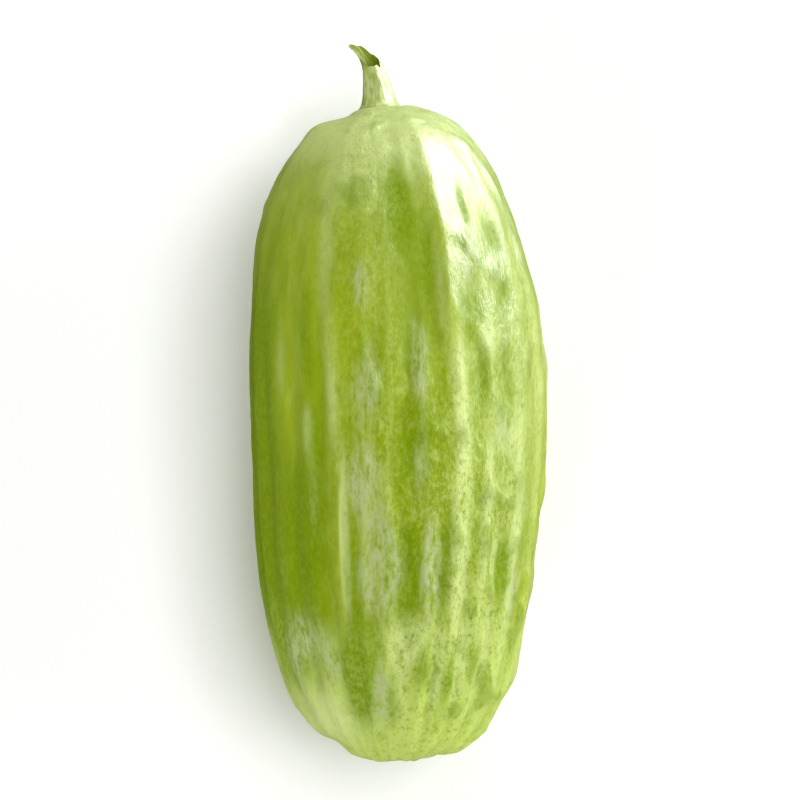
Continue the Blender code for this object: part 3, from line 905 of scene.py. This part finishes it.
def rind_material():
    look = Shading("rind")
    station = look.attribute("station")
    lively = look.attribute("lively")
    uneven = look.times(look.noise(240, 3.0, 0.3), 0.8)
    mealy = look.noise(850, 4.0, 0.6, 0.68)
    half_mealy = look.times(mealy, 0.5)
    veined = look.plus(uneven, half_mealy)
    # deep: the dark places' deeper green, in part painted shade down the left side and beside the lit ridge
    deep = look.band(look.plus(look.attribute("dark"), veined), 0.58, 1.60, 0.0, 0.95)
    deep = look.times(deep, look.band(mealy, 0.34, 0.64, 1.0, 0.72))

    colour = rind_ground(look, station, lively)
    colour = rind_lines(look, colour, station, lively, uneven)
    colour = rind_flecks(look, colour, lively, mealy)
    colour = rind_depths_and_shade(look, colour, station, deep)
    colour, crumpled = rind_silver(look, colour)
    colour = look.mix(look.band(look.attribute("calm"), 0.75, 0.1, 0.0, 0.6), colour, GROUND_YELLOW)
    scar = look.plus(look.attribute("scar"), half_mealy)
    colour = look.mix(look.band(scar, 0.55, 1.20, 0.0, 0.75), colour, SCAR_TAN)
    look.surface("Base Color", colour)
    look.surface("Roughness", look.band(look.noise(45, 3.0), 0.35, 0.65, 0.45, 0.51))
    waxy = look.times(look.band(deep, 0.0, 0.9, 0.90, 0.14), look.band(station, 0.5, 0.78, 0.62, 1.0))
    look.surface("Specular IOR Level", waxy)
    look.scatter(0.08, (0.003, 0.004, 0.001))

    grain = look.bump(look.times(look.noise(1500, 3.0, 0.5), lively), 0.00018, 0.7)
    dashes = look.bump(look.times(look.noise(520, 4.0, 0.4, 0.6), lively), 0.0006, 0.45, grain)
    look.surface("Normal", look.bump(crumpled, 0.0007, 0.6, dashes))
    return look.material


def stalk_material():
    look = Shading("stalk")
    along = look.attribute("along")
    colour = look.mix(look.band(look.attribute("fibre"), -0.4, 0.5), STALK_GREEN, STALK_PALE)
    colour = look.mix(look.band(along, 0.54, 0.68, 0.0, 0.85), colour, STALK_DRY)
    flecks = look.band(look.noise(500, 3.0, 0.3), 0.60, 0.80, 0.0, 0.25)
    colour = look.mix(flecks, colour, STALK_FLECK)
    ragged = look.plus(along, look.times(look.noise(900, 2.0, 0.4), 0.25))
    # the torn end: its own deep green, with painted shade darkening the middle of its scooped hollow
    inside = look.mix(look.band(ragged, 0.66, 0.92), TORN_GREEN_AND_SHADE, TORN_TIP)
    colour = look.mix(look.band(look.attribute("torn"), 0.0, 0.12, 0.0, 0.95), colour, inside)
    look.surface("Base Color", colour)
    look.surface("Roughness", 0.50)
    look.surface("Specular IOR Level", look.band(along, 0.48, 0.64, 1.0, 0.15))
    look.scatter(0.05, (0.002, 0.002, 0.0006))
    look.surface("Normal", look.bump(look.noise(1400, 3.0, 0.12), 0.00016, 0.5))
    return look.material


def floor_material():
    look = Shading("floor")
    look.surface("Base Color", FLOOR_WHITE)
    look.surface("Roughness", 0.9)
    look.surface("Specular IOR Level", 0.1)
    return look.material


def make_floor():
    corners = [(x * FLOOR_HALF, y * FLOOR_HALF, 0) for x, y in ((-1, -1), (1, -1), (1, 1), (-1, 1))]
    mesh = bpy.data.meshes.new("floor")
    mesh.from_pydata(corners, [], [(0, 1, 2, 3)])
    mesh.materials.append(floor_material())
    floor = bpy.data.objects.new("floor", mesh)
    bpy.context.collection.objects.link(floor)
    floor.visible_glossy = False


def make_camera():
    data = bpy.data.cameras.new("camera")
    data.lens = LENS_MM
    data.sensor_width = SENSOR_MM
    camera = bpy.data.objects.new("camera", data)
    bpy.context.collection.objects.link(camera)
    middle = (cad_box[0][2] + cad_box[1][2]) / 2
    camera.location = (CAMERA_SHIFT_X, CAMERA_SHIFT_Y, middle + PHOTO_SPAN * LENS_MM / SENSOR_MM)
    bpy.context.scene.camera = camera


def area_light(kind):
    """A soft rectangular light that faces the middle of the fruit."""
    data = bpy.data.lights.new(kind.name, "AREA")
    data.shape = "RECTANGLE"
    data.size, data.size_y = kind.size
    data.energy = kind.power
    data.color = kind.colour
    light = bpy.data.objects.new(kind.name, data)
    bpy.context.collection.objects.link(light)
    aim = Vector(kind.direction).normalized()
    light.location = aim * kind.distance + Vector((0, 0, MAX_RADIUS))
    light.rotation_euler = aim.to_track_quat("Z", "Y").to_euler()
    return light


def make_lights():
    """One light that only shines back from the skin, four soft ones that don't, and a dim sky."""
    area_light(SHINE).visible_diffuse = False
    for kind in SOFT_LIGHTS:
        area_light(kind).visible_glossy = False
    world = bpy.data.worlds.new("studio")
    bpy.context.scene.world = world
    world.use_nodes = True
    background = world.node_tree.nodes["Background"]
    background.inputs["Color"].default_value = (*WHITE, 1)
    background.inputs["Strength"].default_value = SKY_STRENGTH
    world.cycles_visibility.glossy = False


def finish_piece(piece, node, material):
    piece.data.materials.append(material)
    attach(piece, "root")
    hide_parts(node)


shift = placement()
finish_piece(make_skin(shift), "fruit", rind_material())
finish_piece(make_stem(shift), "stem", stalk_material())
make_floor()
make_camera()
make_lights()
bpy.context.scene.view_settings.view_transform = "Standard"
